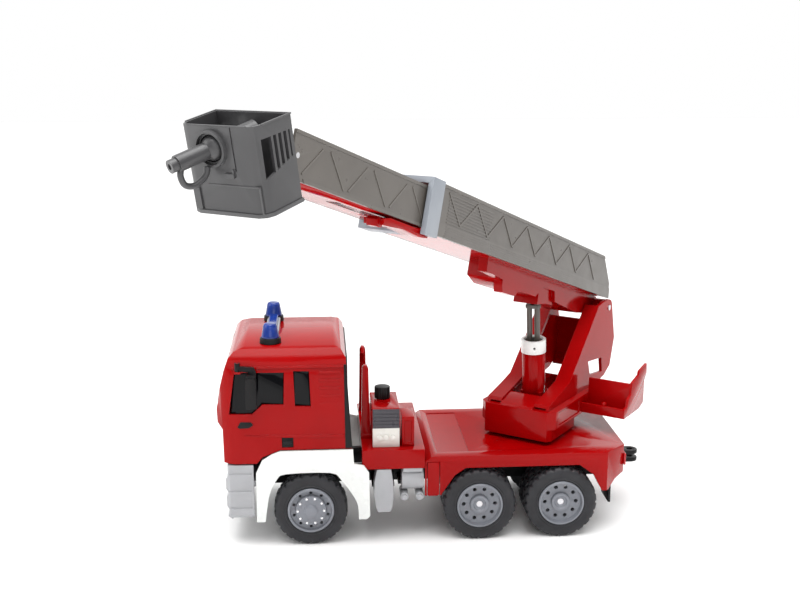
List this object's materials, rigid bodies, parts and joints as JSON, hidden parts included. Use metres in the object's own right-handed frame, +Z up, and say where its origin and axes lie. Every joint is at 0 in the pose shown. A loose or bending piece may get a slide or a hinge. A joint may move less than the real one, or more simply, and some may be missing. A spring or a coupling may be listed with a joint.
{
  "type": "toy fire engine",
  "caption": "Toy fire engine with a tilting cab, rolling wheels and a slewing, raising and extending turntable ladder that carries a levelling basket with a water monitor.",
  "frame": {"origin": "ground plane on the vehicle's centreline, under the front axle", "axes": "+X forward (towards the cab), +Y to the vehicle's left, +Z up"},
  "size_m": [0.4411, 0.5222, 0.4324],
  "materials": {
    "body_red": "glossy injection-moulded red plastic",
    "fender_white": "glossy white plastic",
    "silver_plastic": "silver-grey satin plastic",
    "rim_grey": "silver-grey moulded wheel plastic",
    "tyre_black": "soft black moulded tyre",
    "black_plastic": "fine-grained black plastic",
    "dark_glazing": "smoked transparent plastic",
    "lamp_clear": "clear lamp lens",
    "lamp_red": "red lamp lens",
    "beacon_blue": "translucent blue lens",
    "ladder_grey": "dark warm-grey moulded plastic",
    "steel_pin": "plain steel rod"
  },
  "bodies": {
    "chassis": {"chassis_frame": "black_plastic", "front_bumper": "silver_plastic", "fenders": "fender_white", "headlights": "lamp_clear", "engine_block": "ladder_grey", "mid_body": "body_red", "rear_deck": "body_red", "ladder_rest": "body_red", "water_tank": "body_red", "pump_panel": "silver_plastic", "side_locker": "body_red", "silencer": "silver_plastic", "air_tanks": "silver_plastic", "tail_lights": "lamp_red", "mudflaps": "black_plastic", "tow_jaw": "black_plastic", "bearing_ring": "black_plastic", "tilt_pin": "steel_pin"},
    "filler": {"filler_cap": "black_plastic"},
    "wheels_front": {"axle_front": "steel_pin", "rims_front": "rim_grey", "tyres_front": "tyre_black"},
    "wheels_mid": {"axle_mid": "steel_pin", "rims_mid": "rim_grey", "tyres_mid": "tyre_black"},
    "wheels_rear": {"axle_rear": "steel_pin", "rims_rear": "rim_grey", "tyres_rear": "tyre_black"},
    "cab": {"cab_shell": "body_red", "windows": "dark_glazing", "cab_interior": "black_plastic", "steering_wheel": "black_plastic", "cab_rear_panel": "black_plastic", "cab_handles": "black_plastic", "light_bar": "silver_plastic", "beacon_domes": "beacon_blue"},
    "mirror_l": {"mirror_left": "black_plastic"},
    "mirror_r": {"mirror_right": "black_plastic"},
    "turntable": {"turntable_base": "body_red", "cheek_plates": "body_red", "operator_tray": "body_red", "boom_pin": "steel_pin", "slew_pin": "steel_pin", "strut_pin": "steel_pin"},
    "strut_base": {"strut_housing": "body_red", "strut_collar": "fender_white"},
    "strut_mid": {"strut_mid_tube": "ladder_grey"},
    "strut_top": {"strut_rods": "ladder_grey"},
    "boom": {"outer_ladder": "ladder_grey", "ladder_collar": "silver_plastic", "boom_bracket": "body_red"},
    "inner": {"inner_ladder": "ladder_grey", "inner_floor": "body_red", "basket_pin": "steel_pin"},
    "lever": {"lock_lever": "body_red"},
    "basket": {"basket_shell": "ladder_grey", "monitor_ring": "ladder_grey"},
    "monitor": {"monitor_barrel": "ladder_grey"},
    "outrigger_l": {"outrigger_left": "body_red"},
    "outrigger_r": {"outrigger_right": "body_red"}
  },
  "joints": [
    {"name": "front_wheel_spin", "type": "hinge", "parent": "chassis", "child": "wheels_front", "pos_m": [0, 0, 0.0355], "axis": [0, 1, 0], "continuous": true},
    {"name": "middle_wheel_spin", "type": "hinge", "parent": "chassis", "child": "wheels_mid", "pos_m": [-0.1645, 0, 0.0355], "axis": [0, 1, 0], "continuous": true},
    {"name": "rear_wheel_spin", "type": "hinge", "parent": "chassis", "child": "wheels_rear", "pos_m": [-0.2448, 0, 0.0355], "axis": [0, 1, 0], "continuous": true},
    {"name": "cab_tilt", "type": "hinge", "parent": "chassis", "child": "cab", "pos_m": [0.08, 0, 0.087], "axis": [0, 1, 0], "range_deg": [0, 50]},
    {"name": "mirror_left_fold", "type": "hinge", "parent": "cab", "child": "mirror_l", "pos_m": [0.066, 0.0774, 0.18], "axis": [0, 0, 1], "range_deg": [-70, 8]},
    {"name": "mirror_right_fold", "type": "hinge", "parent": "cab", "child": "mirror_r", "pos_m": [0.066, -0.0774, 0.18], "axis": [0, 0, -1], "range_deg": [-70, 8]},
    {"name": "filler_cap_lift", "type": "slide", "parent": "chassis", "child": "filler", "axis": [0, 0, 1], "range_m": [0, 0.012]},
    {"name": "turntable_slew", "type": "hinge", "parent": "chassis", "child": "turntable", "pos_m": [-0.229, 0, 0.09], "axis": [0, 0, 1], "continuous": true},
    {"name": "ladder_raise", "type": "hinge", "parent": "turntable", "child": "boom", "pos_m": [-0.2953, -0.09026, 0.197], "axis": [0.8059, -0.592, 0], "range_deg": [-18, 35]},
    {"name": "strut_tilt", "type": "hinge", "parent": "turntable", "child": "strut_base", "pos_m": [-0.23018, -0.00161, 0.112], "axis": [0.8059, -0.592, 0], "range_deg": [-6.75, 13.05]},
    {"name": "strut_mid_slide", "type": "slide", "parent": "strut_base", "child": "strut_mid", "axis": [0.0419, 0.0571, 0.9975], "range_m": [-0.0218, 0.0422]},
    {"name": "strut_rod_slide", "type": "slide", "parent": "strut_mid", "child": "strut_top", "axis": [0.0419, 0.0571, 0.9975], "range_m": [-0.0134, 0.0259]},
    {"name": "ladder_extend", "type": "slide", "parent": "boom", "child": "inner", "axis": [0.5624, 0.7656, 0.3123], "range_m": [-0.095, 0.06]},
    {"name": "lock_lever_press", "type": "hinge", "parent": "boom", "child": "lever", "pos_m": [-0.07548, 0.20899, 0.32841], "axis": [-0.8059, 0.592, 0], "range_deg": [0, 8], "stiffness_Nm_per_rad": 0.05},
    {"name": "basket_level", "type": "hinge", "parent": "inner", "child": "basket", "pos_m": [0.0207, 0.33993, 0.40415], "axis": [-0.8059, 0.592, 0], "range_deg": [-29, 18]},
    {"name": "monitor_swivel", "type": "hinge", "parent": "basket", "child": "monitor", "pos_m": [0.05207, 0.37317, 0.41155], "axis": [0.114, 0.1552, 0.9813], "range_deg": [-8, 30]},
    {"name": "outrigger_left_out", "type": "slide", "parent": "chassis", "child": "outrigger_l", "axis": [0, 1, 0], "range_m": [0, 0.035]},
    {"name": "outrigger_right_out", "type": "slide", "parent": "chassis", "child": "outrigger_r", "axis": [0, -1, 0], "range_m": [0, 0.035]}
  ],
  "couplings": [
    {"joint": "strut_tilt", "follows": "ladder_raise", "ratio": 0.3712},
    {"joint": "strut_mid_slide", "follows": "ladder_raise", "m_per_rad": 0.0686},
    {"joint": "strut_rod_slide", "follows": "ladder_raise", "m_per_rad": 0.042}
  ]
}
